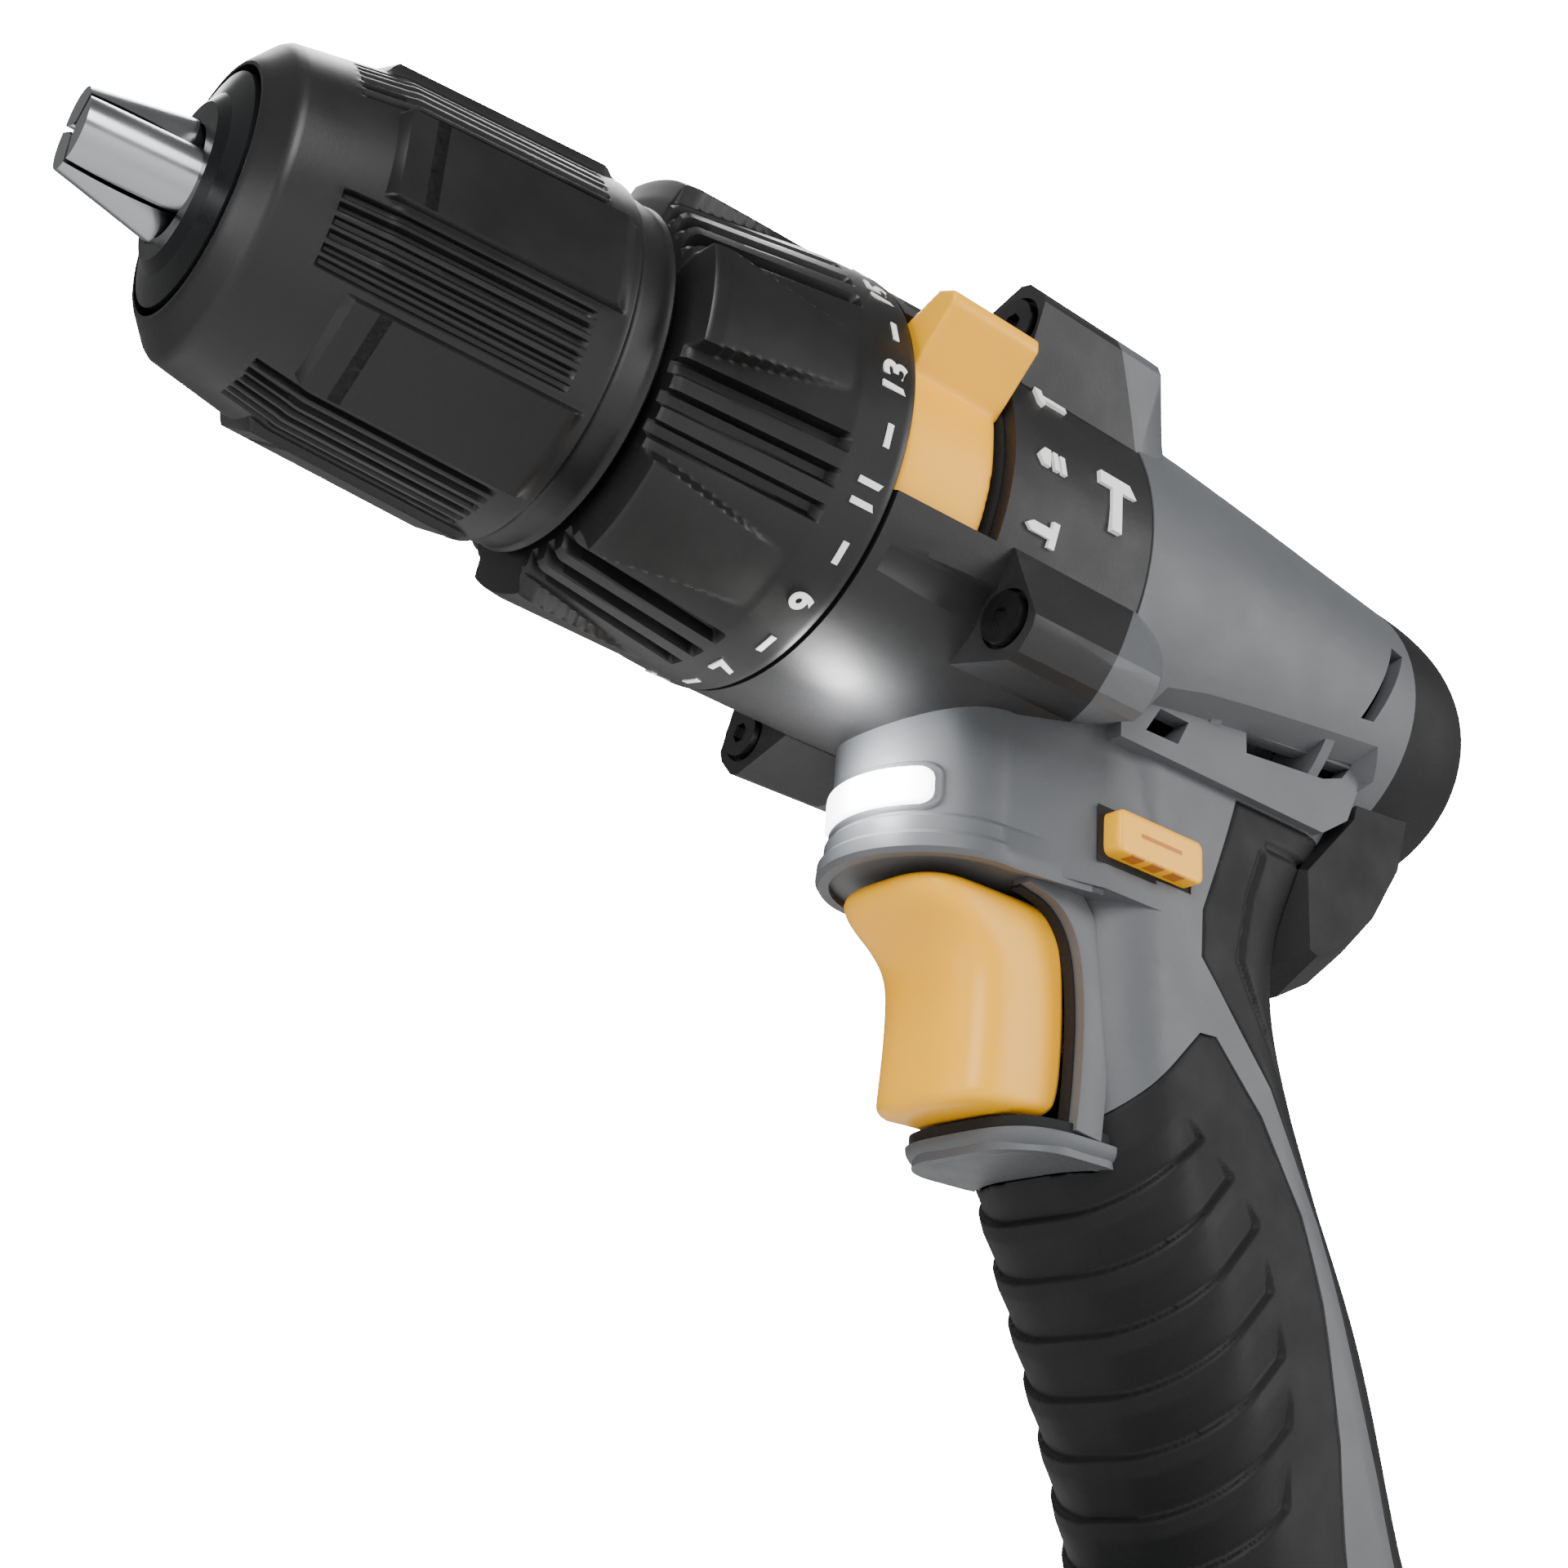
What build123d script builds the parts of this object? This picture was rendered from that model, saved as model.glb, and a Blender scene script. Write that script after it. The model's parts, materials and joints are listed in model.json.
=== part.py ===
from build123d import *
from math import acos, cos, pi, radians, sin, tan
import os

# Cordless hammer drill on a slide-on battery pack, in millimetres, +Z up.
# The chuck points to -X and the origin is the centre of the battery's flat bottom.
# Stations are distances along the spindle, counted rearwards from the torque
# ring's back edge; heights are counted from the spindle axis.

# Driving dimensions
axis_height = 198.0          # spindle axis above the battery's bottom
ring_back = -77.0            # X of the torque ring's back edge
running = 0.05               # radial clearance of a shaft in its bore
gap = 0.4                    # clearance between pieces that pass each other

# Chuck
chuck_front = -79.4
chuck_rear = -31.4
jaw_radius = 3.7
jaw_tip = -93.0
jaw_back = -56.0
jaw_tilt = 14.0              # degrees between a jaw's hole and the spindle
bit_radius = 0.75            # smallest shank the closed jaws hold
bit_bore_radius = 6.6
spindle_radius = 6.0
nose_radius = 16.5           # outside of the gear housing's nose tube

# Gear trains: three planetary stages with the same teeth
module = 0.85
sun_teeth = 15
planet_teeth = 12
ring_teeth = sun_teeth + 2 * planet_teeth
pressure_angle = radians(20)
planet_count = 3
orbit_radius = module * (sun_teeth + planet_teeth) / 2
pin_radius = 2.0
carrier_radius = 15.0
ring_gear_radius = 20.3
case_bore = 20.7
case_radius = 22.6

# Motor
motor_radius = 19.0
motor_front = 36.0
motor_rear = 92.0
shaft_radius = 2.5

# Housings
housing_front = 42.0         # station where the gear housing meets the clamshell
cap_front = 104.0            # station where the rear cap starts
wall = 2.6
skin = 1.6                   # thickness of the rubber grip
mode_ring_radius = 26.9
boss_y = 25.4
boss_z = 21.6

# Foot and battery pack
foot_top = -146.0
foot_bottom = -160.0
rail_shoulder = -157.6       # underside of the battery's rail flanges
rail_top = -153.4
pack_front = 20.0
pack_rear = 134.0
pack_half_width = 37.5
pack_bottom = -axis_height
cell_radius = 9.2
cell_length = 65.0
cell_count = 5

side_view = Plane(origin=(ring_back, 0, axis_height), x_dir=(1, 0, 0), z_dir=(0, -1, 0))
spindle_axis = Axis((ring_back, 0, axis_height), (1, 0, 0))
pieces = {}


def station(x):
    """The plane square to the spindle at a station: local x is +Y, local y is +Z."""
    return Plane(origin=(ring_back + x, 0, axis_height), x_dir=(0, 1, 0), z_dir=(1, 0, 0))


def level(z):
    """The horizontal plane at a height: local x is the station, local y is +Y."""
    return Plane(origin=(ring_back, 0, axis_height + z))


def turn(*outline, mode=Mode.ADD):
    """Revolve an outline of (station, radius) points about the spindle."""
    with BuildSketch(side_view) as half_section:
        with BuildLine():
            Polyline(*outline, close=True)
        make_face()
    revolve(half_section.sketch, axis=spindle_axis, mode=mode)


def disc(start, end, radius, bore=0.0, mode=Mode.ADD):
    """A round plate between two stations."""
    with BuildSketch(station(start)) as face:
        Circle(radius)
        if bore:
            Circle(bore, mode=Mode.SUBTRACT)
    extrude(face.sketch, amount=end - start, mode=mode)


def block(x, y, z, mode=Mode.ADD, edge=0.0):
    """A block from station, side and height ranges, with rounded edges along Y."""
    with BuildSketch(side_view.offset(-y[1])) as face:
        with Locations(((x[0] + x[1]) / 2, (z[0] + z[1]) / 2)):
            if edge:
                RectangleRounded(x[1] - x[0], z[1] - z[0], edge)
            else:
                Rectangle(x[1] - x[0], z[1] - z[0])
    extrude(face.sketch, amount=y[1] - y[0], mode=mode)


def plate(half_width, *outline, mode=Mode.ADD):
    """Extrude an outline of (station, height) points to both sides of the middle."""
    with BuildSketch(side_view) as face:
        with BuildLine():
            Polyline(*outline, close=True)
        make_face()
    extrude(face.sketch, amount=half_width, both=True, mode=mode)


def keep(label, piece):
    """Label a finished piece and remember it for export."""
    piece.part.label = label
    pieces[label] = piece.part


# Gears
def involute(angle):
    return tan(angle) - angle


def gear_outline(teeth, addendum, dedendum, thickness, phase=0.0):
    """Points round a gear whose first tooth is centred at the phase angle."""
    pitch = module * teeth / 2
    base = pitch * cos(pressure_angle)
    root = pitch - dedendum * module
    tip = pitch + addendum * module
    half_at_base = thickness * pi / (2 * teeth) + involute(pressure_angle)
    flank = []
    for radius in (max(root, base), pitch, tip):
        flank.append((radius, half_at_base - involute(acos(base / radius))))
    if root < base:
        flank.insert(0, (root, half_at_base))
    points = []
    for tooth in range(teeth):
        middle = phase + 2 * pi * tooth / teeth
        for radius, half in flank:
            points.append((radius * cos(middle - half), radius * sin(middle - half)))
        for radius, half in reversed(flank):
            points.append((radius * cos(middle + half), radius * sin(middle + half)))
    return points


def external_gear(start, end, teeth, bore, centre=(0.0, 0.0), phase=0.0):
    """A spur gear whose teeth are a little thin, for backlash."""
    outline = [(x + centre[0], y + centre[1]) for x, y in gear_outline(teeth, 0.9, 1.2, 0.86, phase)]
    with BuildSketch(station(start)) as face:
        with BuildLine():
            Polyline(*outline, close=True)
        make_face()
        if bore:
            with Locations(centre):
                Circle(bore, mode=Mode.SUBTRACT)
    extrude(face.sketch, amount=end - start)


def ring_gear(start, end):
    """An internal gear: its tooth spaces are a gear cut out of a plain ring."""
    disc(start, end, ring_gear_radius)
    with BuildSketch(station(start)) as space:
        with BuildLine():
            Polyline(*gear_outline(ring_teeth, 1.2, 0.9, 1.14, pi / ring_teeth), close=True)
        make_face()
    extrude(space.sketch, amount=end - start, mode=Mode.SUBTRACT)


def carrier_plate(start, end, pin_end, bore=0.0):
    """A carrier disc with its three planet pins."""
    disc(start, end, carrier_radius, bore)
    with BuildSketch(station(end)) as pins:
        with PolarLocations(orbit_radius, planet_count):
            Circle(pin_radius)
    extrude(pins.sketch, amount=pin_end - end)


# Chuck: body, screw, adjusting nut, sleeve and three jaws
jaw_slope = tan(radians(jaw_tilt))
land_back = -79.0
jaw_hole_radius = jaw_radius + 0.08
jaw_centre = bit_radius + jaw_radius / cos(radians(jaw_tilt))


def jaw_outside(x):
    """Radius of the outermost line of a jaw's hole at a station."""
    return jaw_centre + (x - land_back) * jaw_slope + jaw_radius / cos(radians(jaw_tilt))


def jaw_plane(angle):
    """The plane across a jaw's hole where it meets the end of its gripping land."""
    direction = Vector(cos(radians(jaw_tilt)), -sin(radians(jaw_tilt)) * sin(angle),
                       sin(radians(jaw_tilt)) * cos(angle))
    point = Vector(ring_back + land_back, -jaw_centre * sin(angle),
                   axis_height + jaw_centre * cos(angle))
    return Plane(origin=point, z_dir=direction)


jaw_angles = [2 * pi * index / 3 for index in range(3)]
nut_front = -60.0
nut_back = -50.0
body_radius = 20.0
thread_radius = 6.2

with BuildPart() as chuck_body:
    turn((-81.5, 0), (-81.5, 9.2), (-80.6, 10.6), (-79.6, 13.7), (-66, 14.0), (-62.5, 14.0),
         (nut_front - gap, jaw_outside(nut_front) - gap), (nut_back + gap, jaw_outside(nut_back) - gap),
         (nut_back + gap, body_radius), (chuck_rear, body_radius), (chuck_rear, 0))
    disc(-81.5, -66, bit_bore_radius, mode=Mode.SUBTRACT)
    disc(-66, -61.5, 4.6, mode=Mode.SUBTRACT)
    disc(-48, chuck_rear, thread_radius, mode=Mode.SUBTRACT)
    disc(-66, -48, 2.6, mode=Mode.SUBTRACT)
    for angle in jaw_angles:
        with BuildSketch(jaw_plane(angle).offset(-20)):
            Circle(jaw_hole_radius)
        extrude(amount=80, mode=Mode.SUBTRACT)
keep("chuck_body", chuck_body)

with BuildPart() as chuck_screw:
    disc(-64, -61.6, 4.4)
    disc(-61.6, -46.5, 2.5)
    with BuildSketch(station(-64)) as socket:
        RegularPolygon(2.2, 6)
    extrude(socket.sketch, amount=1.6, mode=Mode.SUBTRACT)
keep("chuck_screw", chuck_screw)

with BuildPart() as chuck_nut:
    turn((nut_front, jaw_outside(nut_front) + gap), (nut_back, jaw_outside(nut_back) + gap),
         (nut_back, 20.2), (nut_front, 20.2))
keep("chuck_nut", chuck_nut)

sleeve_outline = [(chuck_front, 15.4), (-76.8, 18.5), (-64.6, 21.4), (-37.2, 23.35), (chuck_rear, 22.6)]
sleeve_front_bore = 14.6

with BuildPart() as chuck_sleeve:
    turn(*sleeve_outline, (chuck_rear, 20.4), (-61.5, 20.4), (-63, 15.4), (-78.6, sleeve_front_bore),
         (chuck_front, sleeve_front_bore))
keep("chuck_sleeve", chuck_sleeve)

jaw_wedge = [(0, 0.42), (-30, 17.74), (-30, 40), (30, 40), (30, 17.74)]

for index, angle in enumerate(jaw_angles):
    with BuildPart() as jaw:
        with BuildSketch(jaw_plane(angle).offset(-20)):
            Circle(jaw_radius)
        extrude(amount=80)
        with BuildSketch(station(jaw_tip)):
            with BuildLine():
                Polyline(*[(u * cos(angle) - v * sin(angle), u * sin(angle) + v * cos(angle))
                           for u, v in jaw_wedge], close=True)
            make_face()
        extrude(amount=jaw_back - jaw_tip, mode=Mode.INTERSECT)
        disc(jaw_tip - 1, jaw_back + 1, bit_radius, mode=Mode.SUBTRACT)
    keep(f"jaw_{index + 1}", jaw)

# Spindle, its carrier and the hammer ratchet
with BuildPart() as spindle:
    turn((-46.4, 0), (-46.4, 2.6), (-47.5, 2.6), (-47.5, thread_radius), (chuck_rear + 0.4, thread_radius),
         (chuck_rear + 0.4, spindle_radius), (-1, spindle_radius), (-1, 5), (4, 5), (4, 0))
keep("spindle", spindle)

with BuildPart() as output_carrier:
    carrier_plate(0.5, 4.0, 11.5, bore=5.0)
keep("output_carrier", output_carrier)

ratchet_ridges = 12
with BuildPart() as spindle_ratchet:
    disc(-5.2, -2.4, 11.0, spindle_radius)
    with BuildSketch(station(-6.0)):
        with PolarLocations(9.4, ratchet_ridges):
            Rectangle(2.6, 1.6)
    extrude(amount=0.8)
keep("spindle_ratchet", spindle_ratchet)

with BuildPart() as housing_ratchet:
    disc(-10.4, -7.4, 13.5, 7.0)
    with BuildSketch(station(-7.4)):
        with PolarLocations(9.4, ratchet_ridges):
            Rectangle(2.6, 1.6)
    extrude(amount=0.8)
keep("housing_ratchet", housing_ratchet)

with BuildPart() as spindle_bearing:
    disc(-26, -18, 13.5, spindle_radius + running)
    disc(-26, -25.2, 11.2, 8.4, mode=Mode.SUBTRACT)
    disc(-18.8, -18, 11.2, 8.4, mode=Mode.SUBTRACT)
keep("spindle_bearing", spindle_bearing)

# Torque ring and the clutch spring that it loads
ring_front = -30.2
with BuildPart() as torque_ring:
    turn((ring_front, nose_radius + 0.5), (ring_front, 24.3), (-28.6, 25.4), (-7.85, 28.4), (-1.2, 29.0),
         (0, 28.8), (0, 26.8), (-2.4, 22.4), (-27.4, 22.4), (-27.4, nose_radius + 0.5))
keep("torque_ring", torque_ring)

spring_turns = 5
spring_pitch = 3.9
with BuildPart() as clutch_spring:
    with BuildLine():
        coil = Helix(spring_pitch, spring_pitch * spring_turns, 18.9,
                     center=(ring_back - 23.5, 0, axis_height), direction=(1, 0, 0))
    with BuildSketch(Plane(origin=coil @ 0, z_dir=coil % 0)):
        Circle(1.0)
    sweep()
keep("clutch_spring", clutch_spring)

# Three planetary stages, numbered from the motor
stage_planets = {1: (24.4, 30.4), 2: (14.8, 19.6), 3: (4.6, 11.4)}

with BuildPart() as gearbox_case:
    turn((2.8, 16.6), (2.8, case_radius), (35.4, case_radius), (35.4, 8.2), (33.0, 8.2), (33.0, case_bore),
         (4.2, case_bore), (4.2, 16.6))
    block((13.6, 26.0), (-4.5, 4.5), (18, 24), mode=Mode.SUBTRACT)
keep("gearbox_case", gearbox_case)

for name, start, end in (("ring_gear_1", 25.2, 31.6), ("ring_gear_3", 4.4, 12.0)):
    with BuildPart() as fixed_ring:
        ring_gear(start, end)
        disc(start, end, case_bore, ring_gear_radius - 0.01)
    keep(name, fixed_ring)

with BuildPart() as ring_gear_2:
    ring_gear(14.6, 19.6)
    disc(16.2, 18.0, ring_gear_radius + 1, 19.4, mode=Mode.SUBTRACT)
keep("ring_gear_2", ring_gear_2)

with BuildPart() as carrier_1:
    carrier_plate(21.0, 23.4, 30.8)
    external_gear(14.6, 21.0, sun_teeth, 0)
keep("carrier_1", carrier_1)

with BuildPart() as carrier_2:
    carrier_plate(12.3, 14.2, 20.0)
    external_gear(4.4, 12.3, sun_teeth, 0)
keep("carrier_2", carrier_2)

for stage, (start, end) in stage_planets.items():
    for index in range(planet_count):
        # a planet's phase puts its tooth spaces on the teeth of the sun and the ring
        orbit = 2 * pi * index / planet_count
        phase = orbit + pi - pi / planet_teeth + orbit * sun_teeth / planet_teeth
        centre = (orbit_radius * cos(orbit), orbit_radius * sin(orbit))
        with BuildPart() as planet:
            external_gear(start, end, planet_teeth, pin_radius + running, centre, phase)
        keep(f"planet_{stage}_{index + 1}", planet)

# Gear housing: nose tube, shell with the mode window, and four screw bosses
boss_front = 19.4
shell_radius = 29.4
shell_outline = [(0.6, 28.6), (boss_front, 29.2), (housing_front, shell_radius)]
shell_bore = 27.25
window = (-25.0, 29.0)       # degrees from the left side, counted upwards
ring_slot = (-97.0, 33.0)    # way of the mode ring's front edge through the shell's front wall
boss_section = [(26.0, 24.5), (shell_radius, 24.5), (38.2, 36.6), (38.8, 39.0), (38.8, 44.0), (38.0, 46.4),
                (shell_radius, 57.0), (26.0, 57.0)]
boss_spots = [(side * boss_y, up * boss_z) for side in (-1, 1) for up in (-1, 1)]
screw_seat = 18.6
screw_tip = 41.6
screw_hole_radius = 2.0


def from_polar(points, side=-1, up=1):
    """Points given as (radius, degrees up from the side) about the spindle."""
    return [(side * r * cos(radians(a)), up * r * sin(radians(a))) for r, a in points]


def prism(start, end, outline, mode=Mode.ADD):
    """Extrude an outline across the spindle between two stations."""
    with BuildSketch(station(start)) as face:
        with BuildLine():
            Polyline(*outline, close=True)
        make_face()
    extrude(face.sketch, amount=end - start, mode=mode)


def sector(start, end, inner, outer, low, high, mode=Mode.ADD):
    """A sector of a ring about the spindle, between two angles counted up from the left side."""
    steps = 14
    angles = [low + (high - low) * step / steps for step in range(steps + 1)]
    outline = [(outer, angle) for angle in angles] + [(inner, angle) for angle in reversed(angles)]
    prism(start, end, from_polar(outline), mode)


def gear_housing_solid(mode):
    """The gear housing as one filled block, which the clamshell is cut back from."""
    with BuildPart(mode=Mode.PRIVATE) as bosses:
        for side, up in ((-1, -1), (-1, 1), (1, -1), (1, 1)):
            prism(boss_front, housing_front, from_polar(boss_section, side, up))
        turn((housing_front, 28.6), (32.6, 40.0), (housing_front + 2, 50.0), (housing_front + 2, 28.6),
             mode=Mode.SUBTRACT)
    turn((0.6, 0), *shell_outline, (housing_front, 0), mode=mode)
    add(bosses.part, mode=mode)


def screw_ways(start, end, radius, mode=Mode.SUBTRACT):
    """Round bars at the four gear housing screws, between two stations."""
    with BuildSketch(station(start)) as ways:
        with Locations(*boss_spots):
            Circle(radius)
    extrude(ways.sketch, amount=end - start, mode=mode)


with BuildPart() as gear_housing:
    gear_housing_solid(Mode.ADD)
    turn((-1.0, 0), (-1.0, 16.4), (2.4, 16.4), (2.4, shell_bore), (18.6, shell_bore), (18.6, 26.4),
         (housing_front, 26.4), (housing_front, 0), mode=Mode.SUBTRACT)
    turn((-27.8, 8.0), (-27.8, nose_radius), (0.6, nose_radius), (0.6, 27.6), (2.4, 27.6), (2.4, 16.4),
         (-1.0, 16.4), (-1.0, 13.5), (-26.2, 13.5), (-26.2, 8.0))
    sector(0.2, 16.6, 25.0, 36.0, *window, Mode.SUBTRACT)
    sector(0.2, 2.5, 25.0, shell_bore, *ring_slot, Mode.SUBTRACT)
    # screwdriver channels, seats and holes
    screw_ways(2.6, boss_front, 5.1)
    screw_ways(0, 20.4, 4.0)
    screw_ways(0, housing_front + 1, screw_hole_radius)
keep("gear_housing", gear_housing)

with BuildPart() as gear_screws:
    for spot in boss_spots:
        with BuildSketch(station(screw_seat)):
            with Locations(spot):
                Circle(3.4)
                RegularPolygon(1.5, 6, mode=Mode.SUBTRACT)
        extrude(amount=1.8)
    screw_ways(screw_seat + 1.0, screw_tip, screw_hole_radius - 0.1, Mode.ADD)
keep("gear_screws", gear_screws)

# Mode ring with its thumb fin, seen through the window
fin_outline = [(26.5, 9.8), (35.4, 19.0), (36.0, 21.5), (34.0, 25.5), (26.5, 27.0)]
mode_ring_bore = 25.3
with BuildPart() as mode_ring:
    disc(3.0, 15.2, mode_ring_radius, mode_ring_bore)
    sector(1.0, 3.0, mode_ring_bore, mode_ring_radius, -60, 30)
    prism(1.0, 15.8, from_polar(fin_outline))
keep("mode_ring", mode_ring)

# Speed selector: a slider on top, a fork, and the second ring gear
with BuildPart() as speed_slider:
    block((48, 60), (-6.5, 6.5), (27.6, 31.2), edge=1.2)
    block((52, 56), (-2.4, 2.4), (24.8, 27.6))
keep("speed_slider", speed_slider)

with BuildPart() as shift_fork:
    block((16.5, 57), (-3, 3), (23.2, 24.8))
    block((16.5, 17.7), (-3, 3), (19.8, 23.2))
keep("shift_fork", shift_fork)

# Motor
with BuildPart() as motor_can:
    turn((motor_front, shaft_radius + running), (motor_front, motor_radius), (motor_rear, motor_radius),
         (motor_rear, 18.0), (37.6, 18.0), (37.6, shaft_radius + running))
    turn((33.4, shaft_radius + running), (33.4, 7.8), (motor_front, 7.8), (motor_front, shaft_radius + running))
keep("motor_can", motor_can)

with BuildPart() as motor_magnets:
    with BuildSketch(station(46)):
        Circle(18.0)
        Circle(15.6, mode=Mode.SUBTRACT)
        Rectangle(2 * motor_radius, 14, mode=Mode.SUBTRACT)
    extrude(amount=36)
keep("motor_magnets", motor_magnets)

with BuildPart() as motor_end_cap:
    disc(motor_rear, motor_rear + 5, motor_radius, shaft_radius + running)
    for side in (-1, 1):
        block((84, motor_rear), sorted((side * 12.5, side * 16.5)), (-5, 5))
keep("motor_end_cap", motor_end_cap)

with BuildPart() as motor_brushes:
    for side in (-1, 1):
        block((85, 90), sorted((side * 6.4, side * 12.5)), (-2.4, 2.4))
keep("motor_brushes", motor_brushes)

with BuildPart() as rotor_shaft:
    disc(24.4, motor_rear + 8, shaft_radius)
keep("rotor_shaft", rotor_shaft)

with BuildPart() as motor_pinion:
    external_gear(24.4, 31.8, sun_teeth, shaft_radius)
keep("motor_pinion", motor_pinion)

with BuildPart() as armature:
    disc(47, 80, 15.2, shaft_radius)
    with BuildSketch(station(47)):
        with PolarLocations(13.6, 7):
            Rectangle(4.2, 1.8)
        with PolarLocations(10.8, 7):
            Circle(2.2)
    extrude(amount=33, mode=Mode.SUBTRACT)
keep("armature", armature)

with BuildPart() as commutator:
    disc(84, 91, 6.0, shaft_radius)
    with BuildSketch(station(84)):
        with PolarLocations(6.0, 14):
            Rectangle(1.2, 0.35)
    extrude(amount=7, mode=Mode.SUBTRACT)
keep("commutator", commutator)

with BuildPart() as cooling_fan:
    disc(38.6, 39.8, 16.8, shaft_radius)
    disc(39.8, 44.6, 5.0, shaft_radius)
    with BuildSketch(station(39.8)):
        with PolarLocations(10.4, 12):
            Rectangle(12.2, 0.9)
    extrude(amount=4.8)
keep("cooling_fan", cooling_fan)


# Clamshell: barrel, neck, grip and foot. Each section is (height or station, ...sizes).
# barrel sections: station, half width, half height, middle height
barrel_sections = [(housing_front, 29.6, 29.6, 0.0), (61, 29.2, 28.0, 0.0), (84, 28.2, 25.6, 0.0),
                   (cap_front, 27.0, 23.8, 0.0)]
undercut_side = 19.8         # side of the flat wall under the barrel's crease
undercut = [(49.5, -22.5), (53, -19.0), (60, -17.8), (97, -12.9), (99.5, -15), (96.5, -20.5), (88, -24.5),
            (60, -25.4), (49.5, -25.4)]
undercut_wall = [(47, -12.5), (97.5, -8.4), (101, -12), (96, -22), (90, -25.8), (47, -25.8)]
plinth_outline = [(housing_front, 20), (housing_front, 30.4), (56.5, 30.2), (60.5, 27.0), (60.5, 20)]
ear_rear = 52.0
ear_tip = [(20.0, 24.5), (27.4, 26.0), (27.8, 36.6), (27.9, 39.0), (27.9, 44.0), (27.8, 46.4), (27.4, 55.0),
           (20.0, 57.0)]
cooling_slots = [[(98.6, 4.8), (101.4, 4.4), (94.6, -8.5), (91.5, -9.0)],
                 [(73, -16.0), (97, -13.4), (95, -15.6), (90.5, -17.2), (73, -19.2)],
                 [(54.8, -19), (51.9, -23.2), (58.4, -23), (60.6, -19)]]
# handle sections: height, front station, rear station, half width, corner
handle_sections = [(-16, 43, 102, 18.5, 14), (-30, 44, 97, 18.3, 13.5), (-44, 46, 89.5, 17.6, 13),
                   (-56, 47, 90, 17.0, 13), (-67, 48.5, 93.5, 17.0, 13), (-79, 51.5, 98.5, 17.4, 13.5),
                   (-91, 57, 104, 18.0, 14), (-106, 63.5, 110, 17.6, 14), (-121, 69, 115, 17.2, 14),
                   (-136, 73, 121, 18.4, 14), (-148, 72, 128, 23.0, 14)]


def barrel(inset, mode=Mode.ADD, sections=barrel_sections):
    """The barrel round the motor, drawn in by the inset."""
    rings = []
    for x, half_width, half_height, middle in sections:
        with BuildSketch(station(x)) as ring:
            with Locations((0, middle)):
                Ellipse(half_width - inset, half_height - inset)
        rings.append(ring.sketch)
    loft(rings, mode=mode)


def handle(inset, mode=Mode.ADD, sections=handle_sections):
    """The handle below the barrel, drawn in by the inset."""
    rings = []
    for z, front, rear, half, corner in sections:
        with BuildSketch(level(z)) as ring:
            with Locations(((front + rear) / 2, 0)):
                RectangleRounded(rear - front - 2 * inset, 2 * half - 2 * inset, corner - inset)
        rings.append(ring.sketch)
    loft(rings, mode=mode)


front_grip_edge = [(20, -79.6), (31, -84), (48, -78.6), (57.4, -69.8), (66.2, -60.8), (69.5, -60.6),
                   (78.6, -69.3), (86, -81), (89.5, -92), (93, -109), (94, -126), (89, -136), (60, -139), (20, -139)]
rear_grip_edge = [(72.5, -26), (66.0, -44), (66.2, -50.4), (70.5, -54.5), (80.6, -65.0), (90.2, -81.6),
                  (95.2, -96.8), (101.4, -112.5), (105, -126), (108, -141), (140, -141), (140, -45), (92, -26)]
cap_sections = [(cap_front, 27.0, 23.8, 0.0), (115, 25.8, 22.8, 0.0), (122, 23.0, 20.4, -0.4),
                (125, 19.5, 17.4, -0.8)]
tail_outline = [(96, -18), (cap_front, 10), (118, 10), (122, -8), (117.5, -16), (114, -27), (106.5, -37.5),
                (98, -44.5), (90.5, -48.5), (84, -47), (84, -30)]
tail_flat = 10.5
nose_centre = 33.5
nose_corner = 14.0
neck_bottom = -46.5
lens_low = -41.0
lens_high = -35.0
lens_half_angle = 46
pocket_low = -76.7
boss_holes = [(36, -40.5), (80.5, -57), (66, -85), (90, -124), (126.5, -153)]
screw_head = (9.4, 11.4)    # heads of the housing screws, measured from the middle


def lens_band(outer, inner, low, high, half_angle, mode=Mode.ADD):
    """A band of the nose's round front, between two heights."""
    reach = 30
    with BuildSketch(level(low)) as band:
        with Locations((nose_centre, 0)):
            Circle(outer)
            Circle(inner, mode=Mode.SUBTRACT)
        with BuildLine():
            Polyline((nose_centre, 0), (nose_centre - reach, reach * tan(radians(half_angle))),
                     (nose_centre - reach, -reach * tan(radians(half_angle))), close=True)
        make_face(mode=Mode.INTERSECT)
    extrude(band.sketch, amount=high - low, mode=mode)


def along_y(spots, radius, start, end, mode=Mode.ADD):
    """Round bars along Y at spots given as (station, height)."""
    with BuildSketch(side_view.offset(-end)) as ends:
        with Locations(*spots):
            Circle(radius)
    extrude(ends.sketch, amount=end - start, mode=mode)


with BuildPart() as front_grip:
    handle(0)
    handle(skin, mode=Mode.SUBTRACT)
    plate(40, *front_grip_edge, mode=Mode.INTERSECT)
    block((20, 58), (-10.6, 10.6), (pocket_low - 4.0, -46.9), mode=Mode.SUBTRACT)
    along_y(boss_holes, 3.4, screw_head[0], 40, mode=Mode.SUBTRACT)
keep("front_grip", front_grip)

with BuildPart() as rear_grip:
    handle(0)
    handle(skin, mode=Mode.SUBTRACT)
    plate(40, *rear_grip_edge, mode=Mode.INTERSECT)
    barrel(0, mode=Mode.SUBTRACT)
    along_y(boss_holes, 3.4, screw_head[0], 40, mode=Mode.SUBTRACT)
keep("rear_grip", rear_grip)

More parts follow.
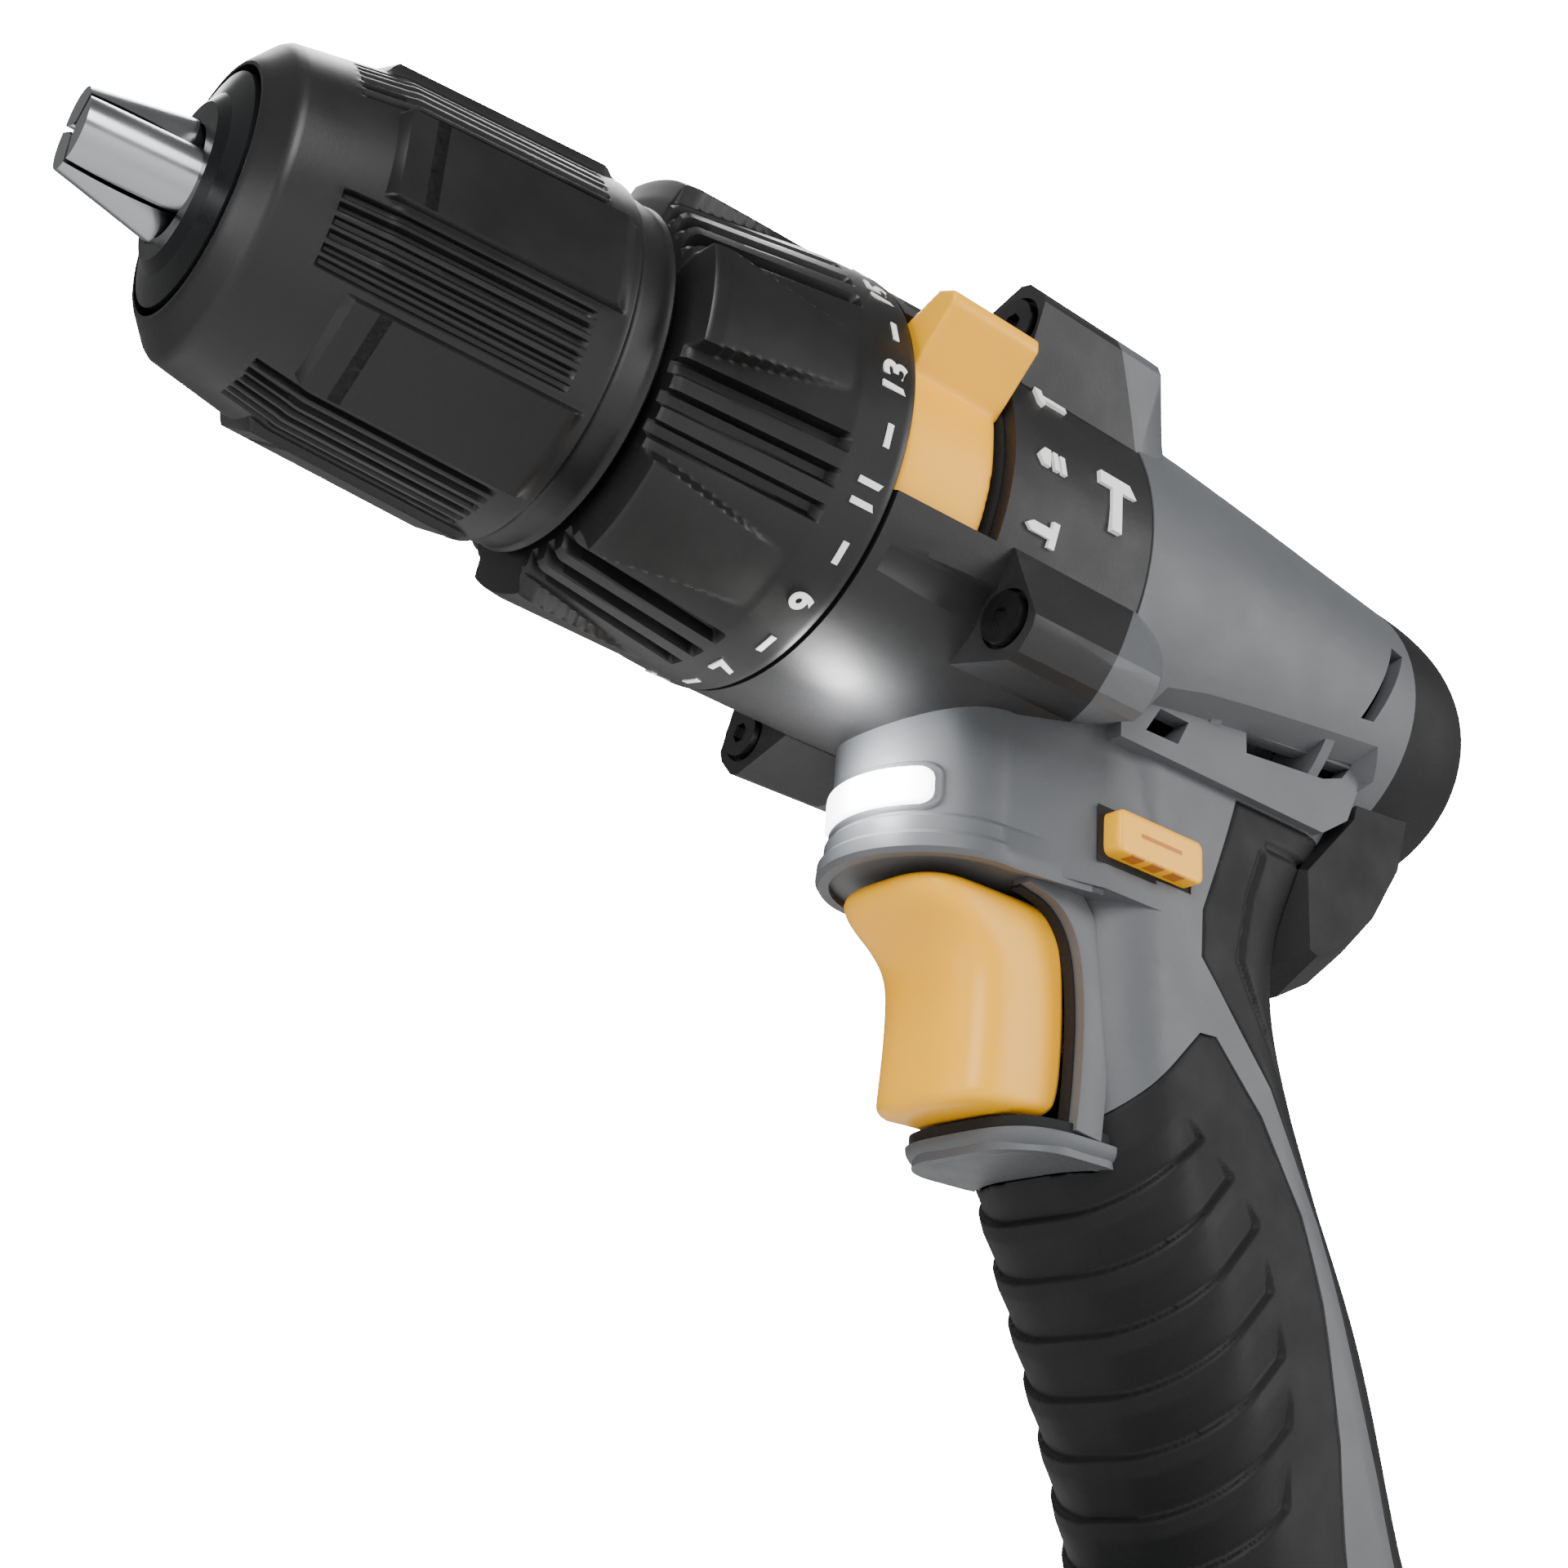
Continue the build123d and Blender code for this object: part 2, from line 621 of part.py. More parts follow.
with BuildPart() as rear_cap:
    barrel(0, sections=cap_sections)
    plate(tail_flat, *tail_outline)
    with BuildSketch(side_view.offset(tail_flat)) as tail_side:
        with BuildLine():
            Polyline(*tail_outline, close=True)
        make_face()
    extrude(tail_side.sketch, amount=18.4 - tail_flat, taper=28)
    mirror(about=Plane.XZ)
    barrel(0, mode=Mode.SUBTRACT)
    handle(0, mode=Mode.SUBTRACT)
    turn((cap_front, 0), (cap_front, 20.5), (112, 19.6), (119, 15.0), (119, 0), mode=Mode.SUBTRACT)
keep("rear_cap", rear_cap)

belt_hook_hole = (52, -155)
bit_holder_hole = (62, -155)
accessory_radius = 1.65
accessory_depth = 29.04      # side at which the accessory holes end
foot_sections = [(foot_bottom, 22, 134, 37, 12), (-151, 24, 133.5, 36.5, 12), (-145.5, 58, 129, 25, 12)]
rail_front = 15.0
rail_rear = 119.0

with BuildPart() as clamshell:
    barrel(0)
    handle(0)
    with BuildSketch(level(neck_bottom)):
        with Locations((nose_centre, 0)):
            Circle(nose_corner)
        with BuildLine():
            Polyline((nose_centre, -nose_corner), (47, -17.4), (70, -17.4), (70, 17.4), (47, 17.4),
                     (nose_centre, nose_corner), close=True)
        make_face()
    extrude(amount=-neck_bottom - 18)
    with BuildSketch(level(-80.6)):
        with Locations((50, 0)):
            RectangleRounded(22, 25, 8)
    extrude(amount=3.9)
    handle(0, sections=foot_sections)
    plate(11.5, *plinth_outline)
    for side, up in ((-1, -1), (-1, 1), (1, -1), (1, 1)):
        prism(32, housing_front, from_polar(boss_section[1:-1] + [(28, 57), (28, 24.5)], side, up))
        ear_sections = []
        for x, outline in ((housing_front, boss_section), (ear_rear, ear_tip)):
            with BuildSketch(station(x)) as ear_end:
                with BuildLine():
                    Polyline(*from_polar(outline, side, up), close=True)
                make_face()
            ear_sections.append(ear_end.sketch)
        loft(ear_sections, ruled=True)
    for side in (-1, 1):
        with BuildSketch(side_view.offset(side * undercut_side)) as below_crease:
            with BuildLine():
                Polyline(*undercut, close=True)
            make_face()
        extrude(below_crease.sketch, amount=side * 20, taper=-21, mode=Mode.SUBTRACT)
    gear_housing_solid(Mode.SUBTRACT)
    screw_ways(32, screw_tip + 1, screw_hole_radius)
    add(front_grip.part, mode=Mode.SUBTRACT)
    add(rear_grip.part, mode=Mode.SUBTRACT)
    add(rear_cap.part, mode=Mode.SUBTRACT)
    # inside of the barrel, the neck and the handle
    barrel(wall, mode=Mode.SUBTRACT)
    handle(skin + wall, mode=Mode.SUBTRACT)
    block((22.9, 58), (-7.4, 7.4), (-44.0, -31.8), mode=Mode.SUBTRACT)
    block((100, 117), (-15, 15), (rail_top - 1, -144), mode=Mode.SUBTRACT)
    # walls behind the crease, floor under the speed selector, ribs round the motor, screw bosses
    for side in (-1, 1):
        with BuildSketch(side_view.offset(side * undercut_side)) as crease_wall:
            with BuildLine():
                Polyline(*undercut_wall, close=True)
            make_face()
        extrude(crease_wall.sketch, amount=-side * wall)
    for outline in cooling_slots:
        with BuildSketch(side_view) as slot:
            with BuildLine():
                Polyline(*outline, close=True)
            make_face()
        extrude(slot.sketch, amount=40, both=True, mode=Mode.SUBTRACT)
    block((45, 68), (-9, 9), (25.2, 28))
    for rib in (65, 87):
        disc(rib, rib + 2, 26.4, motor_radius + 0.1)
    along_y(boss_holes, 4.2, -13.8, 13.8)
    along_y(boss_holes, 1.5, -11, 40, mode=Mode.SUBTRACT)
    along_y(boss_holes, 3.4, screw_head[0], 40, mode=Mode.SUBTRACT)
    # openings: selector, trigger, direction button, lens, battery rails
    block((46.6, 66.4), (-7, 7), (27.2, 40), mode=Mode.SUBTRACT)
    block((50, 62.5), (-3, 3), (20, 28), mode=Mode.SUBTRACT)
    block((20, 58), (-10.6, 10.6), (pocket_low, -46.9), mode=Mode.SUBTRACT)
    block((46.0, 63.5), (-20, 20), (-42.6, -35.6), mode=Mode.SUBTRACT)
    lens_band(nose_corner + 1, 12.0, lens_low, lens_high, lens_half_angle, mode=Mode.SUBTRACT)
    block((rail_front, rail_rear), (-20, 20), (foot_bottom - 1, rail_shoulder), mode=Mode.SUBTRACT)
    block((rail_front, rail_rear), (-24, 24), (rail_shoulder, rail_top), mode=Mode.SUBTRACT)
    along_y([belt_hook_hole], accessory_radius, -40, -accessory_depth, mode=Mode.SUBTRACT)
    along_y([bit_holder_hole], accessory_radius, accessory_depth, 40, mode=Mode.SUBTRACT)

with BuildPart() as housing_left:
    add(clamshell.part)
    split(bisect_by=Plane.XZ, keep=Keep.TOP)
keep("housing_left", housing_left)

with BuildPart() as housing_right:
    add(clamshell.part)
    split(bisect_by=Plane.XZ, keep=Keep.BOTTOM)
keep("housing_right", housing_right)

with BuildPart() as housing_screws:
    along_y(boss_holes, 3.0, *screw_head)
    along_y(boss_holes, 1.5, -10, screw_head[0])
keep("housing_screws", housing_screws)

with BuildPart() as led_lens:
    lens_band(nose_corner, 12.0, lens_low, lens_high, lens_half_angle)
keep("led_lens", led_lens)

with BuildPart() as led_board:
    block((24.5, 25.7), (-7, 7), (-43.4, -32.4))
    block((23.1, 24.5), (-1.8, 1.8), (-39.8, -36.2))
keep("led_board", led_board)

# Trigger, switch and direction button
with BuildPart() as trigger:
    plate(10, (27.6, -47.5), (50, -47.5), (50, -76.1), (36, -76.1), (33.8, -72), (33.2, -62), (32.2, -55),
          (29.6, -51))
    block((50, 57.5), (-3, 3), (-64, -58))
keep("trigger", trigger)

with BuildPart() as switch_body:
    block((59.5, 75.5), (-11, 11), (-72, -47))
    block((59.5, 66), (-3.5, 3.5), (-64.5, -57.5), mode=Mode.SUBTRACT)
keep("switch_body", switch_body)

with BuildPart() as direction_button:
    block((46.5, 63.0), (-20.3, 20.3), (-42.1, -36.1), edge=1.0)
keep("direction_button", direction_button)

# Terminals in the foot
blade_sides = (-13.5, -4.5, 4.5, 13.5)
with BuildPart() as terminal_block:
    block((112.4, 118.4), (-19, 19), (-157.0, rail_top - 0.4))
    for side in blade_sides:
        block((99, 112.4), (side - 0.4, side + 0.4), (-156.6, -154.6))
keep("terminal_block", terminal_block)

# Battery pack
case_split = -176.0
case_top = foot_bottom - gap
rail_end = 111.0
pack_wall = 2.2


def pack_plate(low, high, inset=0.0, mode=Mode.ADD):
    """A slab with the battery pack's outline between two heights."""
    with BuildSketch(level(low)) as outline:
        with Locations(((pack_front + pack_rear) / 2, 0)):
            RectangleRounded(pack_rear - pack_front - 2 * inset, 2 * (pack_half_width - inset), 9 - inset)
    extrude(outline.sketch, amount=high - low, mode=mode)


with BuildPart() as battery_case_lower:
    pack_plate(pack_bottom, case_split)
    pack_plate(pack_bottom + 2.2, case_split, pack_wall, mode=Mode.SUBTRACT)
keep("battery_case_lower", battery_case_lower)

with BuildPart() as battery_case_upper:
    pack_plate(case_split, case_top)
    block((30, rail_end), (-19.6, 19.6), (case_top, rail_shoulder + gap))
    block((30, rail_end), (-23.6, 23.6), (rail_shoulder + gap, rail_top - gap))
    pack_plate(case_split, -172.8, pack_wall, mode=Mode.SUBTRACT)
    block((34, 108), (-17, 17), (-172.8, -163), mode=Mode.SUBTRACT)
    block((15, 25.6), (-10.4, 10.4), (-170.6, -163.4), mode=Mode.SUBTRACT)
    for side in blade_sides:
        block((98, rail_end), (side - 0.9, side + 0.9), (-158.6, rail_top), mode=Mode.SUBTRACT)
keep("battery_case_upper", battery_case_upper)

with BuildPart() as battery_cells:
    spots = [(77 + (index - (cell_count - 1) / 2) * 20.4, -186.0) for index in range(cell_count)]
    along_y(spots, cell_radius, -cell_length / 2, cell_length / 2)
keep("battery_cells", battery_cells)

with BuildPart() as battery_board:
    block((36, 106), (-16, 16), (-171.6, -170.0))
    for side in blade_sides:
        block((99, 105), (side - 1.2, side + 1.2), (-170.0, -163.4))
keep("battery_board", battery_board)

with BuildPart() as battery_latch:
    block((17.4, 22.6), (-10, 10), (-170.2, -163.8), edge=0.8)
keep("battery_latch", battery_latch)

os.makedirs("parts", exist_ok=True)
for label, piece in pieces.items():
    export_step(piece, f"parts/{label}.step")
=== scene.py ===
import json
from math import atan2, ceil, cos, degrees, hypot, pi, radians, sin, sqrt

import bmesh
import bpy
from mathutils import Matrix, Vector


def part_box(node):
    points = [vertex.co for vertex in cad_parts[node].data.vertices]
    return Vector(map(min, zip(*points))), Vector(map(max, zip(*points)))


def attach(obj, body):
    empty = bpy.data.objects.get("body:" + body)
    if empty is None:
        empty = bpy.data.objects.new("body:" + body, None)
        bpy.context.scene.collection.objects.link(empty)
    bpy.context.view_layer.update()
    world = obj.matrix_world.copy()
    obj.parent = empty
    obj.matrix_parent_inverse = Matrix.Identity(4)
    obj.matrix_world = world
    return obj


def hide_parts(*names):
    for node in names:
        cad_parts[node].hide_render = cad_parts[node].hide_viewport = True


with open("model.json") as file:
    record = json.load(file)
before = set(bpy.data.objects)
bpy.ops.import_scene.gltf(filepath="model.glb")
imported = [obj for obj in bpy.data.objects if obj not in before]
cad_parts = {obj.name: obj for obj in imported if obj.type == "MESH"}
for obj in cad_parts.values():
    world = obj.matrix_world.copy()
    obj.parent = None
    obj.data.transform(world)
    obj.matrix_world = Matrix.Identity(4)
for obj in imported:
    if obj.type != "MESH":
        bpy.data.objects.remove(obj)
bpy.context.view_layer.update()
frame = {"nodes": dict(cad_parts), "record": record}

MM = 0.001
ring_low, ring_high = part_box("torque_ring")
RING_BACK = ring_high.x / MM                      # stations count rearwards from here
AXIS_HEIGHT = (ring_low.z + ring_high.z) / 2 / MM


def place(station, side, height):
    """A point in metres from its station along the spindle, side and height above the spindle, in mm."""
    return Vector(((RING_BACK + station) * MM, side * MM, (AXIS_HEIGHT + height) * MM))


def round_axis(station, radius, angle):
    """A point about the spindle; the angle in degrees counts up from the left side."""
    return place(station, -radius * cos(radians(angle)), radius * sin(radians(angle)))


# ------------------------------------------------------------------ materials
def linear(hex_colour):
    """sRGB hex to linear RGBA."""
    channels = [int(hex_colour[i:i + 2], 16) / 255 for i in (1, 3, 5)]
    return [c / 12.92 if c <= 0.04045 else ((c + 0.055) / 1.055) ** 2.4 for c in channels] + [1.0]


def add_node(tree, kind, inputs=None, **settings):
    """Add a node, set its properties, and give its sockets a value or a link."""
    made = tree.nodes.new(kind)
    for name, value in settings.items():
        setattr(made, name, value)
    for name, value in (inputs or {}).items():
        if isinstance(value, bpy.types.NodeSocket):
            tree.links.new(value, made.inputs[name])
        else:
            made.inputs[name].default_value = value
    return made


def per_metre(size_mm):
    """Noise scale that gives features of this size in millimetres."""
    return 1.0 / (size_mm * MM)


PATCH_MM = 9.0                                    # size of the soft patches of slightly different colour


def surface(name, colour, second, rough, grain_mm, grain_depth_mm, spread=0.06, **shader_values):
    """A principled material: two close colours in soft patches, grain as bump, roughness that varies."""
    material = bpy.data.materials.new(name)
    material.use_nodes = True
    tree = material.node_tree
    tree.nodes.clear()
    place_in = add_node(tree, "ShaderNodeTexCoord").outputs["Object"]
    patches = add_node(tree, "ShaderNodeTexNoise", {"Vector": place_in, "Scale": per_metre(PATCH_MM),
                                                    "Detail": 4.0})
    grain = add_node(tree, "ShaderNodeTexNoise", {"Vector": place_in, "Scale": per_metre(grain_mm),
                                                  "Detail": 2.0})
    mixed = add_node(tree, "ShaderNodeMix", {"Factor": patches.outputs["Fac"], "A": linear(colour),
                                             "B": linear(second)}, data_type="RGBA")
    roughness = add_node(tree, "ShaderNodeMapRange", {"Value": patches.outputs["Fac"], "From Min": 0.3,
                                                      "From Max": 0.7, "To Min": rough - spread,
                                                      "To Max": rough + spread})
    bump = add_node(tree, "ShaderNodeBump", {"Height": grain.outputs["Fac"], "Strength": 0.6,
                                             "Distance": grain_depth_mm * MM})
    shader = add_node(tree, "ShaderNodeBsdfPrincipled", {"Base Color": mixed.outputs["Result"],
                                                         "Roughness": roughness.outputs["Result"],
                                                         "Normal": bump.outputs["Normal"], **shader_values})
    add_node(tree, "ShaderNodeOutputMaterial", {"Surface": shader.outputs["BSDF"]})
    return material


# Glass-filled nylon, moulded in a spark-eroded tool: an even, dry sheen with fine grain
nylon_light = surface("glass_filled_nylon_light_grey", "#505255", "#56585b", 0.48, 0.45, 0.02,
                      **{"Specular IOR Level": 0.4})
nylon_dark = surface("glass_filled_nylon_dark_grey", "#1b1b1c", "#1f1f20", 0.46, 0.4, 0.02,
                     **{"Specular IOR Level": 0.35})
# The same without the spark-eroded grain, on the chuck and the ring: darker, with a broad soft highlight
nylon_black = surface("smooth_nylon_black", "#111112", "#151516", 0.4, 0.35, 0.012,
                      **{"Specular IOR Level": 0.38})
# Thermoplastic elastomer, overmoulded: matte, and it takes hardly any highlight
rubber = surface("elastomer_overmould_black", "#0c0c0d", "#101011", 0.58, 0.35, 0.02,
                 **{"Specular IOR Level": 0.25})
# Acetal, moulded and coloured through: strong yellow with a smooth, waxy gloss
acetal_yellow = surface("acetal_moulded_yellow", "#ffb300", "#ffb704", 0.36, 1.2, 0.006, spread=0.03,
                        **{"Specular IOR Level": 0.35})
# Polycarbonate blend of the pack, moulded with a coarser grain: near black and dull
pack_plastic = surface("polycarbonate_blend_black", "#0f0f10", "#131314", 0.5, 0.5, 0.03)
# Nylon without pigment, moulded: creamy and slightly waxy
nylon_natural = surface("nylon_natural", "#cfc9ba", "#d8d3c6", 0.5, 0.8, 0.01)
# Tampo print: thin, opaque, slightly raised white ink
white_ink = surface("tampo_print_white", "#e9e9e8", "#f2f2f1", 0.5, 0.6, 0.004)
# Ground steel of the jaws: bright, with fine streaks of reflection
steel_bright = surface("steel_ground", "#9a9da0", "#a9abae", 0.22, 0.25, 0.004, Metallic=1.0)
# Blackened steel of the chuck body: dark, with a tight oily highlight
steel_black = surface("steel_blackened", "#17181a", "#1f2022", 0.3, 0.3, 0.004, Metallic=0.6)
# Sintered steel with oil in its pores: warm grey and soft
steel_gear = surface("steel_sintered_oiled", "#85837d", "#95938c", 0.36, 0.4, 0.01, Metallic=1.0)
# Black zinc plate on rolled screws: dark metal that still glints
steel_screw = surface("steel_black_zinc", "#4a4a4c", "#5a5a5c", 0.32, 0.5, 0.01, Metallic=1.0)
# Sintered ferrite: dull charcoal
ferrite = surface("ferrite_sintered", "#35363a", "#3d3e42", 0.6, 0.6, 0.02)
# Turned copper: warm and shiny
copper = surface("copper_turned", "#c5764f", "#d0835b", 0.28, 0.4, 0.006, Metallic=1.0)
# Stamped laminations under varnish: brownish steel
lamination = surface("steel_laminations_varnished", "#5c5a5a", "#6a6766", 0.45, 0.5, 0.01, Metallic=0.8)
# Pressed carbon: matt black with a grey bloom
carbon = surface("carbon_pressed", "#1d1d1d", "#262626", 0.7, 0.5, 0.02)
# Solder mask on glass epoxy: green and glossy
board = surface("circuit_board_solder_mask", "#1b5a36", "#216540", 0.35, 1.0, 0.01)
# Shrink wrap of the cells: blue-green and shiny
cell_wrap = surface("cell_shrink_wrap", "#1f7f93", "#23879c", 0.3, 3.0, 0.01)
# Painted shade: amber for the engravings in the acetal, and near black for recesses that no light reaches
amber_painted_shade = surface("acetal_engraving_shadow", "#b86a06", "#c0740a", 0.5, 0.6, 0.01)
black_painted_shade = surface("unlit_recess", "#060606", "#080808", 0.8, 1.0, 0.01)

slot_materials = {"light_housing": nylon_light, "dark_housing": nylon_dark, "rubber_grip": rubber,
                  "chuck_black": nylon_black, "accent_yellow": acetal_yellow, "black_steel": steel_black,
                  "bright_steel": steel_bright, "gear_steel": steel_gear, "screw_steel": steel_screw,
                  "magnet": ferrite, "copper": copper, "lamination": lamination, "carbon": carbon,
                  "pack_black": pack_plastic, "cell_wrap": cell_wrap, "white_nylon": nylon_natural,
                  "board_green": board}


def lamp_lens():
    """Frosted polycarbonate with the lamp on behind it: bright white, glowing evenly."""
    material = bpy.data.materials.new("polycarbonate_frosted_lit")
    material.use_nodes = True
    tree = material.node_tree
    shader = tree.nodes["Principled BSDF"]
    shader.inputs["Base Color"].default_value = linear("#f4f7fa")
    shader.inputs["Roughness"].default_value = 0.3
    shader.inputs["Emission Color"].default_value = linear("#fbfdff")
    shader.inputs["Emission Strength"].default_value = 6.0
    return material


slot_materials["led_clear"] = lamp_lens()


# ------------------------------------------------------------------ making pieces
def finish_piece(name, mesh_data, body, slot, replaced=(), material=None, sharp=32.0):
    """Turn a bmesh into an object that rides on a body, with smooth shading and sharp creases."""
    bmesh.ops.remove_doubles(mesh_data, verts=mesh_data.verts[:], dist=0.002 * MM)
    bmesh.ops.recalc_face_normals(mesh_data, faces=mesh_data.faces[:])
    mesh = bpy.data.meshes.new(name)
    mesh_data.to_mesh(mesh)
    mesh_data.free()
    return own_piece(name, mesh, body, slot, replaced, material, sharp)


def own_piece(name, mesh, body, slot, replaced=(), material=None, sharp=32.0):
    """Turn a mesh into an object that rides on a body; a piece without a slot gets its own material."""
    mesh.polygons.foreach_set("use_smooth", [True] * len(mesh.polygons))
    mesh.set_sharp_from_angle(angle=radians(sharp))
    piece = bpy.data.objects.new(name, mesh)
    bpy.context.scene.collection.objects.link(piece)
    piece.data.materials.append(material or slot_materials[slot])
    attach(piece, body)
    if replaced:
        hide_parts(*replaced)
    return piece


def apply_modifiers(piece):
    """Bake a piece's modifiers into its mesh."""
    made = bpy.data.meshes.new_from_object(piece.evaluated_get(bpy.context.evaluated_depsgraph_get()))
    piece.modifiers.clear()
    piece.data = made


def merged_copy(node):
    """A copy of a CAD node's mesh with its loose triangles joined."""
    copy = bmesh.new()
    copy.from_mesh(frame["nodes"][node].data)
    bmesh.ops.remove_doubles(copy, verts=copy.verts[:], dist=0.004 * MM)
    bmesh.ops.dissolve_limit(copy, angle_limit=radians(1.0), verts=copy.verts[:], edges=copy.edges[:])
    return copy


def lathe(outline, steps=360):
    """Spin an outline of (station, radius) points about the spindle."""
    made = bmesh.new()
    points = [made.verts.new(place(x, 0, r)) for x, r in outline]
    edges = [made.edges.new(pair) for pair in zip(points, points[1:] + points[:1])]
    bmesh.ops.spin(made, geom=points + edges, cent=place(0, 0, 0), axis=(1, 0, 0), angle=2 * pi, steps=steps,
                   use_merge=True)
    return made


def finely(outline, spacing):
    """The outline with points added, so that none are further apart than the spacing."""
    points = []
    for (x0, r0), (x1, r1) in zip(outline, outline[1:]):
        count = max(1, ceil(hypot(x1 - x0, r1 - r0) / spacing))
        for step in range(count):
            share = step / count
            points.append((x0 + (x1 - x0) * share, r0 + (r1 - r0) * share))
    return points + [outline[-1]]


def reshape_round(made, change, smallest):
    """Move the outer points of a lathed shape to the radius that change(station, angle, radius) gives."""
    for vert in made.verts:
        y, z = vert.co.y / MM, vert.co.z / MM - AXIS_HEIGHT
        radius = hypot(y, z)
        if radius < smallest:
            continue
        angle = degrees(atan2(z, -y))
        new = change(vert.co.x / MM - RING_BACK, angle, radius)
        vert.co.y = y * new / radius * MM
        vert.co.z = (z * new / radius + AXIS_HEIGHT) * MM


def ramp(value, low, high):
    """0 below low, 1 above high, smooth between."""
    t = min(max((value - low) / (high - low), 0.0), 1.0)
    return t * t * (3 - 2 * t)


def band(value, low, high, soft):
    """1 between low and high, fading over the soft width outside."""
    return ramp(value, low - soft, low) * (1 - ramp(value, high, high + soft))


def nearest(angle, first, pitch):
    """The angle measured from the nearest member of an even pattern."""
    return (angle - first + pitch / 2) % pitch - pitch / 2


# ------------------------------------------------------------------ chuck sleeve
# Six flat pads with six fine grooves between each two
PAD_FIRST, GROOVES_FIRST, PATTERN = 1.0, -29.0, 60.0
PAD_HALF = 15.6
GROOVE_SPACING = 4.3


def sleeve_radius(station, angle, radius):
    pad = abs(nearest(angle, PAD_FIRST, PATTERN))
    flat_radius = (21.75 + (station + 64.8) * 0.0668) / cos(radians(min(pad, 20.0)))
    raised = ramp(station, -66.6, -66.0) * (1 - ramp(station, -39.6, -37.6))
    raised *= 1 - ramp(pad, PAD_HALF - 0.9, PAD_HALF)
    radius += max(flat_radius - radius, 0.0) * raised
    # a step down to the collar behind the pads
    radius -= 0.5 * band(station, -36.4, -32.2, 0.5)
    across = nearest(angle, GROOVES_FIRST, PATTERN)
    if abs(across) < 3 * GROOVE_SPACING:
        line = abs(nearest(across, GROOVE_SPACING / 2, GROOVE_SPACING)) * radius * pi / 180
        depth = 0.85 * band(station, -70.2, -41.4, 0.5)
        radius -= depth * (1 - ramp(line, 0.26, 0.56))
    return radius


sleeve_outside = [(-79.4, 15.0), (-79.1, 15.5), (-76.9, 18.3), (-76.3, 18.75), (-65.4, 21.15), (-64.6, 21.4),
                  (-64.0, 21.5), (-37.2, 23.3), (-36.6, 23.2), (-32.0, 22.75), (-31.4, 22.3)]
sleeve_inside = [(-31.4, 20.4), (-61.5, 20.4), (-63, 15.4), (-78.6, 14.6), (-79.4, 14.6)]
SLEEVE_STEPS, SLEEVE_SPACING, SLEEVE_SMALLEST = 720, 0.45, 14.95
sleeve = lathe(finely(sleeve_outside, SLEEVE_SPACING) + sleeve_inside, SLEEVE_STEPS)
reshape_round(sleeve, sleeve_radius, SLEEVE_SMALLEST)
finish_piece("chuck_sleeve_shell", sleeve, "chuck_sleeve", "chuck_black", ["chuck_sleeve"], sharp=28)

# ------------------------------------------------------------------ torque ring
# Six raised lobes that fade out rearwards, with three deep grooves between each two
LOBE_FIRST, RIB_FIRST = 0.5, -29.5


def ring_radius(station, angle, radius):
    toward_front = min(max((-9.0 - station) / 18.5, 0.0), 1.0)
    lobe = abs(nearest(angle, LOBE_FIRST, PATTERN))
    half = 9.0 + 6.5 * toward_front
    radius += 2.3 * toward_front * (1 - ramp(lobe, half - 1.3, half)) * ramp(station, -30.2, -29.4)
    across = nearest(angle, RIB_FIRST, PATTERN)
    if abs(across) < 14:
        line = abs(nearest(across, 0, 9.0)) * radius * pi / 180
        radius -= 1.9 * (1 - ramp(station, -8.3, -7.8)) * (1 - ramp(line, 0.75, 1.1))
    return radius


ring_outside = [(-30.2, 24.0), (-29.7, 24.6), (-29.2, 24.85), (-8.0, 28.25), (-1.0, 28.85), (-0.35, 28.8),
                (0, 28.5)]
ring_inside = [(0, 26.8), (-2.4, 22.4), (-27.4, 22.4), (-27.4, 17.0), (-30.2, 17.0)]
RING_STEPS, RING_SPACING, RING_SMALLEST = 600, 0.4, 23.9
torque_ring = lathe(finely(ring_outside, RING_SPACING) + ring_inside, RING_STEPS)
reshape_round(torque_ring, ring_radius, RING_SMALLEST)
finish_piece("torque_ring_shell", torque_ring, "torque_ring", "chuck_black", ["torque_ring"], sharp=30)


def on_surface(station, radius, angle):
    """Axes on a round surface: right runs up round it, up points to the chuck, out is outwards."""
    out = Vector((0, -cos(radians(angle)), sin(radians(angle))))
    right = Vector((0, sin(radians(angle)), cos(radians(angle))))
    up = Vector((-1, 0, 0))
    matrix = Matrix((right, up, out)).transposed().to_4x4()
    matrix.translation = round_axis(station, radius, angle)
    return matrix


def printed_number(text, height, matrix, name, body):
    """A number as a thin raised print."""
    curve = bpy.data.curves.new(name, "FONT")
    curve.body = text
    curve.size = height * 1.4 * MM
    curve.align_x = "CENTER"
    curve.align_y = "CENTER"
    curve.offset = 0.15 * MM
    curve.extrude = 0.12 * MM
    curve.resolution_u = 6
    holder = bpy.data.objects.new(name, curve)
    bpy.context.scene.collection.objects.link(holder)
    bpy.context.view_layer.update()
    mesh = bpy.data.meshes.new_from_object(holder)
    bpy.data.objects.remove(holder)
    mesh.transform(matrix)
    return own_piece(name, mesh, body, None, material=white_ink)


NUMBER_STATION, NUMBER_RADIUS, NUMBER_HEIGHT = -3.1, 28.62, 3.7
THIRTEEN_ANGLE, CLICK = 0.5, 15.0
dash_size = Matrix.Diagonal((3.0 * MM, 0.85 * MM, 0.3 * MM, 1))
for index in range(12):
    number_angle = THIRTEEN_ANGLE + 2 * CLICK * (index - 6)
    printed_number(str(2 * index + 1), NUMBER_HEIGHT, on_surface(NUMBER_STATION, NUMBER_RADIUS, number_angle),
                   f"torque_number_{2 * index + 1}", "torque_ring")
ticks = bmesh.new()
for index in range(12):
    matrix = on_surface(NUMBER_STATION, NUMBER_RADIUS, THIRTEEN_ANGLE + CLICK * (2 * index + 1))
    bmesh.ops.create_cube(ticks, size=1.0, matrix=matrix @ dash_size)
